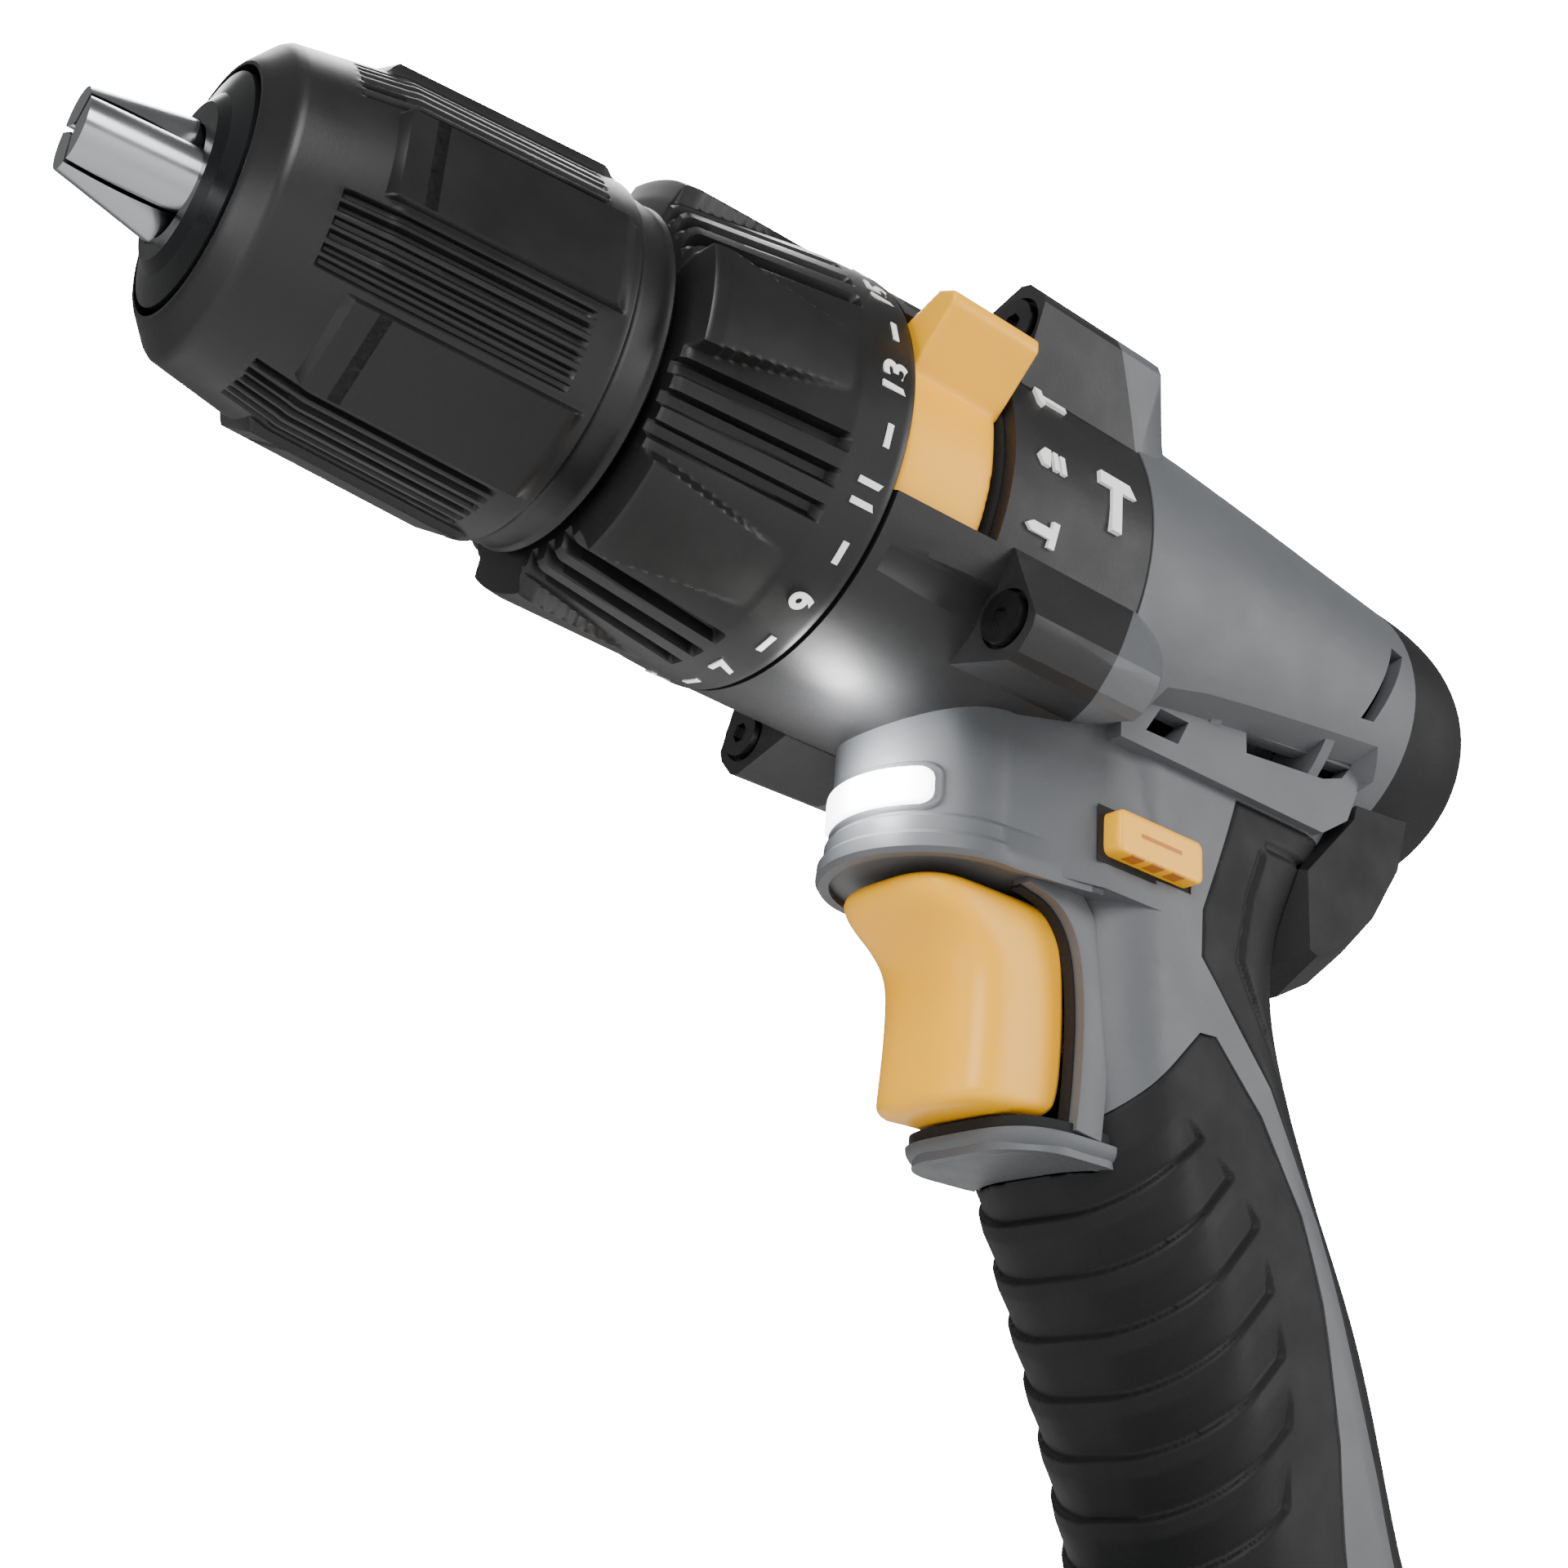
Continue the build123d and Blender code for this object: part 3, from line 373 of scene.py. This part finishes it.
finish_piece("torque_ring_ticks", ticks, "torque_ring", None, material=white_ink)


def plaque(name, outlines, station, radius, angle, height, body):
    """Flat raised symbols: outlines of (rearwards, upwards) points in mm, laid on a round surface."""
    made = bmesh.new()
    place_it = on_surface(station, radius, angle)
    for outline in outlines:
        corners = [made.verts.new(place_it @ Vector((up * MM, -rear * MM, 0))) for rear, up in outline]
        face = made.faces.new(corners)
        raised = bmesh.ops.extrude_face_region(made, geom=[face])
        tops = [item for item in raised["geom"] if isinstance(item, bmesh.types.BMVert)]
        bmesh.ops.translate(made, verts=tops, vec=place_it.to_3x3() @ Vector((0, 0, height * MM)))
    return finish_piece(name, made, body, None, material=white_ink)


screw_symbol = [[(-2.7, 0), (-1.8, 0.65), (1.5, 0.65), (1.5, 1.7), (2.6, 1.7), (2.6, -1.7), (1.5, -1.7),
                 (1.5, -0.65), (-1.8, -0.65)]]
drill_symbol = [[(-2.9, 0), (-2.0, 1.2), (-0.9, 1.2), (-0.9, -1.2), (-2.0, -1.2)],
                [(-0.5, 1.2), (0.3, 1.2), (0.8, -1.2), (0.0, -1.2)],
                [(0.8, 1.2), (1.6, 1.2), (2.1, -1.2), (1.3, -1.2)]]
small_hammer = [[(-2.4, 1.5), (-1.2, 1.5), (-1.2, 0.45), (2.9, 0.45), (2.9, -0.45), (-1.2, -0.45),
                 (-1.2, -1.2), (-1.8, -1.8), (-2.4, -1.2)]]
big_hammer = [[(-3.3, 3.6), (2.2, 3.6), (3.6, 2.0), (2.2, 1.9), (0.9, 1.9), (0.9, -4.2), (-0.9, -4.2),
               (-0.9, 1.9), (-3.3, 1.9)]]
SYMBOL_HEIGHT = 0.75
for symbol, outlines, station, radius, angle in (("screw", screw_symbol, 22.5, 29.0, -17.5),
                                                 ("drill", drill_symbol, 23.1, 29.0, 1.4),
                                                 ("hammer", small_hammer, 24.0, 29.0, 22.0),
                                                 ("hammering", big_hammer, 34.6, 29.05, -0.5)):
    plaque(f"mode_symbol_{symbol}", outlines, station, radius, angle, SYMBOL_HEIGHT, "housing")

# ------------------------------------------------------------------ copies of CAD shells with smooth shading
dressed = {"housing": ["housing_left", "housing_right", "gear_housing", "rear_cap"],
           "battery": ["battery_case_lower", "battery_case_upper"]}
node_slot = {entry["node"]: entry["material_slot"] for entry in frame["record"]["subparts"]}

for body, names in dressed.items():
    for name in names:
        shell = finish_piece(name + "_shell", merged_copy(name), body, node_slot[name], [name],
                             sharp=75)
        edge = shell.modifiers.new("moulded_edges", "BEVEL")
        edge.width = 0.45 * MM
        edge.segments = 2
        edge.limit_method = "ANGLE"
        edge.angle_limit = radians(28)
        even = shell.modifiers.new("even_shading", "WEIGHTED_NORMAL")
        even.keep_sharp = True
        apply_modifiers(shell)


def remeshed_skin(node, voxel_mm, smoothing, change=None):
    """A soft or rounded piece: the CAD solid rounded off by a fine remesh, then shaped along its normals."""
    source = merged_copy(node)
    mesh = bpy.data.meshes.new(node + "_source")
    source.to_mesh(mesh)
    source.free()
    holder = bpy.data.objects.new(node + "_source", mesh)
    bpy.context.scene.collection.objects.link(holder)
    remesh = holder.modifiers.new("remesh", "REMESH")
    remesh.mode = "VOXEL"
    remesh.voxel_size = voxel_mm * MM
    smooth = holder.modifiers.new("smooth", "SMOOTH")
    smooth.iterations = smoothing
    made = bpy.data.meshes.new_from_object(holder.evaluated_get(bpy.context.evaluated_depsgraph_get()))
    bpy.data.objects.remove(holder)
    if change:
        made.update()
        normals = [vert.normal.copy() for vert in made.vertices]
        for vert, normal in zip(made.vertices, normals):
            vert.co += normal * change(vert.co, normal) * MM
    return made


def between(value, table):
    """Straight interpolation in a table of (value, result), in rising order."""
    for (low, a), (high, b) in zip(table, table[1:]):
        if value <= high:
            return a + (b - a) * min(max((value - low) / (high - low), 0.0), 1.0)
    return table[-1][1]


grip_front = [(-136, 73), (-121, 69), (-106, 63.5), (-91, 57), (-79, 51.5), (-67, 48.5)]
panel_end = [(-110, 82.7), (-105.9, 83.2), (-99, 81.3), (-91.2, 79.0), (-83.4, 76.7), (-78.5, 72.1),
             (-74.6, 66.4), (-70, 60)]
FIRST_GROOVE, GROOVE_PITCH, GROOVE_REACH, GROOVE_EDGE = -85.5, 7.0, 4.5, 0.45
GROOVE_DEPTH, GROOVE_SLOPE = 0.8, 0.68


def finger_grooves(co, normal):
    """Six scooped panels that sweep down from the side to the front of the grip."""
    x, z = co.x / MM - RING_BACK, co.z / MM - AXIS_HEIGHT
    outward = normal.y * co.y > 0 if abs(normal.y) > 0.35 else normal.x < 0
    if not outward:
        return 0.0
    sweep = z - GROOVE_SLOPE * max(x - between(z, grip_front), 0.0)
    panel = round((FIRST_GROOVE - sweep + GROOVE_REACH / 2) / GROOVE_PITCH)
    above = sweep - (FIRST_GROOVE - panel * GROOVE_PITCH)
    if not 0 <= panel <= 6 or above > GROOVE_REACH:
        return 0.0
    share = 1 - above / GROOVE_REACH if above > 0 else ramp(above, -GROOVE_EDGE, 0.0)
    end = between(z, panel_end)
    return -GROOVE_DEPTH * share * (1 - ramp(x, end - 0.5, end))


def distance_to_path(x, z, path):
    """Distance from a point to a line through (station, height) points."""
    best = 1e9
    for (x0, z0), (x1, z1) in zip(path, path[1:]):
        t = ((x - x0) * (x1 - x0) + (z - z0) * (z1 - z0)) / ((x1 - x0) ** 2 + (z1 - z0) ** 2)
        t = min(max(t, 0.0), 1.0)
        best = min(best, hypot(x - x0 - t * (x1 - x0), z - z0 - t * (z1 - z0)))
    return best


palm_lines = [[(79.5, -30.8), (97.8, -31.0), (99.4, -33.9), (95.1, -40.4), (88.5, -43.8)],
              [(78.2, -32.4), (75.6, -39.2), (74.1, -48.7), (76.7, -52.8), (85.5, -63.5), (95, -80),
               (100.5, -95.5), (106.2, -111), (110, -126), (113, -139)]]


def palm_panel(co, normal):
    """A fine line round the palm panel of the rear grip."""
    x, z = co.x / MM - RING_BACK, co.z / MM - AXIS_HEIGHT
    if normal.y * co.y < 0 or abs(normal.y) < 0.3:
        return 0.0
    near = min(distance_to_path(x, z, path) for path in palm_lines)
    return -0.6 * (1 - ramp(near, 0.25, 0.75))


own_piece("front_grip_skin", remeshed_skin("front_grip", 0.42, 3, finger_grooves), "housing",
          "rubber_grip", ["front_grip"], sharp=70)
own_piece("rear_grip_skin", remeshed_skin("rear_grip", 0.5, 3, palm_panel), "housing", "rubber_grip",
          ["rear_grip"], sharp=70)
own_piece("mode_lever", remeshed_skin("mode_ring", 0.35, 5), "mode_ring", "accent_yellow", ["mode_ring"],
          sharp=80)
own_piece("direction_slide", remeshed_skin("direction_button", 0.3, 7), "direction_button", "accent_yellow",
          ["direction_button"], sharp=80)


# ------------------------------------------------------------------ trigger surround, lens and button marks, with painted shade in the gaps, recesses and engravings
def smooth_path(points, rounds=3):
    """Corner cutting: the path through the points with its corners rounded off."""
    for _ in range(rounds):
        finer = [points[0]]
        for (x0, z0), (x1, z1) in zip(points, points[1:]):
            finer += [(x0 * 0.75 + x1 * 0.25, z0 * 0.75 + z1 * 0.25),
                      (x0 * 0.25 + x1 * 0.75, z0 * 0.25 + z1 * 0.75)]
        points = finer + [points[-1]]
    return points


def path_band(name, path, width, low, high, body, slot, edge_mm, shift=0.0, material=None):
    """A band along a path in the side view, on both sides of the tool, with rounded edges."""
    made = bmesh.new()
    inner, outer = shift - width / 2, shift + width / 2
    for side in (-1, 1):
        loops = []
        for index, (x, z) in enumerate(path):
            before, after = path[max(index - 1, 0)], path[min(index + 1, len(path) - 1)]
            along = Vector((after[0] - before[0], after[1] - before[1])).normalized()
            across = Vector((-along.y, along.x))
            loops.append([made.verts.new(place(x + across.x * reach, side * y, z + across.y * reach))
                          for reach, y in ((inner, low), (inner, high), (outer, high), (outer, low))])
        for first, second in zip(loops, loops[1:]):
            for k in range(4):
                made.faces.new((first[k], first[(k + 1) % 4], second[(k + 1) % 4], second[k]))
        made.faces.new(loops[0])
        made.faces.new(loops[-1][::-1])
    bmesh.ops.recalc_face_normals(made, faces=made.faces[:])
    if edge_mm:
        long_edges = [edge for edge in made.edges if edge.calc_face_angle(0) > radians(50)]
        bmesh.ops.bevel(made, geom=long_edges, offset=edge_mm * MM, segments=3, profile=0.5, affect="EDGES",
                        offset_type="OFFSET", material=-1, clamp_overlap=True)
    return finish_piece(name, made, body, slot, material=material, sharp=60)


def stack(name, rings, body, slot, replaced=(), material=None, sharp=60):
    """A closed skin through rings of points, with both ends capped."""
    made = bmesh.new()
    loops = [[made.verts.new(place(*point)) for point in ring] for ring in rings]
    count = len(loops[0])
    for first, second in zip(loops, loops[1:]):
        for k in range(count):
            made.faces.new((first[k], first[(k + 1) % count], second[(k + 1) % count], second[k]))
    made.faces.new(loops[0])
    made.faces.new(loops[-1][::-1])
    return finish_piece(name, made, body, slot, replaced, material, sharp)


surround = smooth_path([(38, -45.2), (43.4, -46.2), (47.4, -49.2), (49.7, -54.0), (50.6, -62.0),
                        (50.2, -71.0), (49.4, -77.6)])
path_band("trigger_surround", surround, 4.6, 10.2, 13.2, "housing", "light_housing", 0.9)
# a thin near-black strip on the inner wall of the surround: painted shade in the gap behind the trigger
path_band("trigger_gap", surround, 0.5, 10.1, 11.7, "housing", None, 0.0, shift=-2.4,
          material=black_painted_shade)

# the trigger: a hollow for the finger under its upper lip, full rounded edges
TRIGGER_TOP, TRIGGER_BOTTOM, TRIGGER_HALF = -47.9, -75.8, 10.0
trigger_front = smooth_path([(-79, 31.4), (-75.3, 31.0), (-68, 31.6), (-61.6, 31.8), (-57.2, 31.3),
                             (-54.2, 28.8), (-51.6, 24.6), (-49.6, 23.3), (-47, 23.4)])
trigger_rear = smooth_path([(-79, 43.5), (-76.3, 44.5), (-73.6, 47.4), (-64, 48.1), (-54.4, 47.7),
                            (-50.4, 46.6), (-48.6, 43.5), (-47, 40.0)])
ROUND_OFF, FRONT_DEPTH, SQUARENESS = 2.0, 8.5, 3.2


def trigger_ring(share):
    """One level of the trigger, from its top at 0 to its bottom at 1."""
    height = TRIGGER_TOP + share * (TRIGGER_BOTTOM - TRIGGER_TOP)
    from_end = min(share, 1 - share) * (TRIGGER_TOP - TRIGGER_BOTTOM)
    inset = ROUND_OFF - sqrt(max(ROUND_OFF ** 2 - max(ROUND_OFF - from_end, 0.0) ** 2, 0.0))
    front = between(height, trigger_front) + inset
    rear = between(height, trigger_rear)
    half = TRIGGER_HALF - inset
    ring = []
    for step in range(-24, 25):
        turn = radians(90 * step / 24)
        across = abs(sin(turn)) ** (2 / SQUARENESS) * (1 if step > 0 else -1)
        back = FRONT_DEPTH * (1 - abs(cos(turn)) ** (2 / SQUARENESS))
        x = front + back
        ring.append((x, half * across, height - 0.7 * share * (1 - ramp(x, 30, 40))))
    for x, side in ((rear - 0.9, half), (rear - 0.25, half - 0.25), (rear, half - 0.9)):
        ring.append((x, side, height))
    return ring + [(x, -side, height) for x, side, height in ring[:-4:-1]]


TRIGGER_LEVELS = 70
stack("trigger_body", [trigger_ring(step / TRIGGER_LEVELS) for step in range(TRIGGER_LEVELS + 1)],
      "trigger", "accent_yellow", ["trigger"], sharp=70)

LIP_SQUARENESS, LIP_STEPS = 3.4, 72


def pad_ring(front, rear, half, height):
    """A level rounded oblong, from its front and rear stations and its half width."""
    centre, reach = (front + rear) / 2, (rear - front) / 2
    ring = []
    for step in range(LIP_STEPS):
        along, aside = cos(2 * pi * step / LIP_STEPS), sin(2 * pi * step / LIP_STEPS)
        ring.append((centre + reach * abs(along) ** (2 / LIP_SQUARENESS) * (1 if along > 0 else -1),
                     half * abs(aside) ** (2 / LIP_SQUARENESS) * (1 if aside > 0 else -1), height))
    return ring


# the lip under the trigger, and above it a near-black sheet on the floor of the trigger's pocket, as painted
# shade
lip = []
for step in range(9):
    turn = radians(90 * step / 8)
    inset = 3.0 * (1 - cos(turn))
    lip.append(pad_ring(38.4 + inset, 62 - inset, 13.2 - inset, -77.9 - 2.8 * sin(turn)))
stack("pocket_lip", [pad_ring(38.9, 61.5, 12.7, -77.7)] + lip, "housing", "light_housing")
stack("pocket_floor", [pad_ring(38.7, 61, 12.6, height) for height in (-76.4, -77.8)], "housing", None,
      material=black_painted_shade)

NOSE_CENTRE, NOSE_RADIUS = 33.5, 14.0
LENS_MIDDLE = -38.0
PATCH_EDGE, SUNK = 0.7, 0.3                       # rounding of a pad's edge, and how deep its skirt goes


def nose_patch(name, half_length, half_height, corner, proud, body, slot):
    """A rounded oblong pad standing proud of the round nose, from its half length and half height."""
    made = bmesh.new()
    columns, rows = 48, 12
    grid = []
    for i in range(columns + 1):
        s = half_length * (2 * i / columns - 1) * 0.999
        inside = max(abs(s) - (half_length - corner), 0.0)
        half = half_height - corner + sqrt(max(corner ** 2 - inside ** 2, 0.0))
        column = []
        for j in range(rows + 1):
            t = 2 * j / rows - 1
            edge = min(1.0, (1 - abs(t)) * half / PATCH_EDGE, (half_length - abs(s)) / PATCH_EDGE)
            radius = NOSE_RADIUS - SUNK + (proud + SUNK) * sqrt(max(1 - (1 - edge) ** 2, 0.0))
            angle = s / NOSE_RADIUS
            column.append(made.verts.new(place(NOSE_CENTRE - radius * cos(angle), -radius * sin(angle),
                                               LENS_MIDDLE + t * half)))
        grid.append(column)
    for left, right in zip(grid, grid[1:]):
        for j in range(rows):
            made.faces.new((left[j], left[j + 1], right[j + 1], right[j]))
    bmesh.ops.solidify(made, geom=made.faces[:], thickness=0.8 * MM)
    return finish_piece(name, made, body, slot, sharp=60)


# two ledges below the lens that run out along the neck
ledge_outline = [(-0.3, -41.5), (0.05, -41.6), (0.7, -42.3), (0.8, -44.2), (1.45, -44.9), (1.55, -46.7),
                 (1.1, -47.4), (-0.3, -47.4)]
nose_plan = [(NOSE_CENTRE - NOSE_RADIUS * cos(radians(a)), NOSE_RADIUS * sin(radians(a)), -cos(radians(a)),
              sin(radians(a))) for a in range(0, 90, 5)]
nose_plan += [(NOSE_CENTRE + 13.5 * step / 8, NOSE_RADIUS + 3.4 * step / 8, -0.244, 0.97)
              for step in range(9)]
nose_plan = [(x, -y, nx, -ny) for x, y, nx, ny in nose_plan[:0:-1]] + nose_plan
ledge_rings = []
for x, y, nx, ny in nose_plan:
    fade = 1 - ramp(x, 28, 45)
    proud_of_neck = [(off * fade - SUNK * (1 - fade), z) for off, z in ledge_outline]
    ledge_rings.append([(x + nx * off, y + ny * off, z) for off, z in proud_of_neck])
stack("nose_ledges", ledge_rings, "housing", "light_housing", sharp=35)

nose_patch("lens_bezel", 12.6, 3.75, 3.0, 0.25, "housing", "light_housing")
lens = nose_patch("lamp_lens", 11.2, 2.9, 2.4, 0.75, "housing", "led_clear")
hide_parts("led_lens")


def bars(name, boxes, body, slot=None, material=None):
    """Small blocks given as (station, side, height) ranges."""
    made = bmesh.new()
    for (x0, x1), (y0, y1), (z0, z1) in boxes:
        size = Matrix.Diagonal(((x1 - x0) * MM, (y1 - y0) * MM, (z1 - z0) * MM, 1))
        bmesh.ops.create_cube(made, size=1.0, matrix=Matrix.Translation(
            place((x0 + x1) / 2, (y0 + y1) / 2, (z0 + z1) / 2)) @ size)
    return finish_piece(name, made, body, slot, material=material)


bars("trigger_stem", [((47.0, 57.5), (-3, 3), (-64, -58))], "trigger", "accent_yellow")
def on_both_sides(side, thickness, stations, heights):
    """The same thin block on the left and the right, from its stations and heights."""
    half = thickness / 2
    return [(stations, (sign * side - half, sign * side + half), heights) for sign in (-1, 1)]


# a near-black plate around the direction button on each side: painted shade in the gap around the button
bars("button_recess", on_both_sides(17.45, 0.1, (45.4, 63.9), (-43.1, -35.3)), "housing", None, black_painted_shade)
# a near-black ring around the spindle: painted shade on the wall of the window
window_wall = lathe([(15.9, 24.9), (15.9, 27.2), (16.55, 27.2), (16.55, 24.9)], 180)
finish_piece("window_wall", window_wall, "housing", None, material=black_painted_shade)
# amber bars on the direction button: painted shade in its grip slots and engraved arrow
bars("button_grip_slots", [block for start in (49.0, 53.0, 57.0)
                           for block in on_both_sides(19.2, 2.0, (start, start + 2.4), (-42.18, -41.9))],
     "direction_button", None, amber_painted_shade)
bars("button_arrow", on_both_sides(20.28, 0.1, (50.6, 58.6), (-39.2, -38.6)), "direction_button", None, amber_painted_shade)

# ------------------------------------------------------------------ every other CAD node gets its finish
for name, node in frame["nodes"].items():
    node.data.materials.clear()
    node.data.materials.append(slot_materials[node_slot[name]])

# ------------------------------------------------------------------ floor, light and camera
floor = bmesh.new()
bmesh.ops.create_grid(floor, x_segments=1, y_segments=1, size=4.0)
floor_mesh = bpy.data.meshes.new("floor")
floor.to_mesh(floor_mesh)
floor.free()
floor_object = bpy.data.objects.new("floor", floor_mesh)
bpy.context.scene.collection.objects.link(floor_object)
# Board with a roller coat of white paint: pale and quite dull
floor_mesh.materials.append(surface("painted_board_white", "#f0f0ef", "#f3f3f2", 0.6, 3.0, 0.01))

world = bpy.data.worlds.new("studio")
world.use_nodes = True
world_tree = world.node_tree
world_tree.nodes.clear()
room = add_node(world_tree, "ShaderNodeBackground", {"Color": linear("#ffffff"), "Strength": 0.24})
white_wall = add_node(world_tree, "ShaderNodeBackground", {"Color": linear("#ffffff"), "Strength": 22.0})
seen = add_node(world_tree, "ShaderNodeLightPath").outputs["Is Camera Ray"]
both = add_node(world_tree, "ShaderNodeMixShader", {"Fac": seen})
world_tree.links.new(room.outputs["Background"], both.inputs[1])
world_tree.links.new(white_wall.outputs["Background"], both.inputs[2])
add_node(world_tree, "ShaderNodeOutputWorld", {"Surface": both.outputs["Shader"]})
bpy.context.scene.world = world


def softbox(name, location, target, size, power):
    """A rectangular area light aimed at a point; sizes in metres, power in watts."""
    light = bpy.data.lights.new(name, "AREA")
    light.shape = "RECTANGLE"
    light.size, light.size_y = size
    light.energy = power
    holder = bpy.data.objects.new(name, light)
    holder.location = location
    holder.rotation_euler = (Vector(target) - Vector(location)).to_track_quat("-Z", "Y").to_euler()
    bpy.context.scene.collection.objects.link(holder)


middle = place(10, 0, -30)
softbox("key_left_above", middle + Vector((-0.55, -0.85, 0.45)), middle, (0.6, 0.6), 13)
softbox("fill_rear_left", middle + Vector((0.75, -0.75, 0.15)), middle, (0.4, 0.7), 6)
softbox("rim_above", middle + Vector((0.15, 0.5, 0.9)), middle, (0.6, 0.6), 13)
softbox("front_below", middle + Vector((-0.9, -0.1, -0.05)), middle, (0.4, 0.4), 2.5)

lamp_glow = bpy.data.lights.new("lamp_glow", "POINT")
lamp_glow.energy = 0.05
lamp_glow.shadow_soft_size = 0.004
lamp_glow_holder = bpy.data.objects.new("lamp_glow", lamp_glow)
lamp_glow_holder.location = place(13.5, -5.0, -37.0)
bpy.context.scene.collection.objects.link(lamp_glow_holder)

camera = bpy.data.cameras.new("camera")
camera.lens = 46.16
camera.sensor_width = 36.0
camera.clip_start = 0.01
camera_holder = bpy.data.objects.new("camera", camera)
camera_holder.location = place(-133.4, -180.3, -139.1)
camera_holder.rotation_euler = (radians(113.4), radians(-4.41), radians(-39.89))
bpy.context.scene.collection.objects.link(camera_holder)
bpy.context.scene.camera = camera_holder
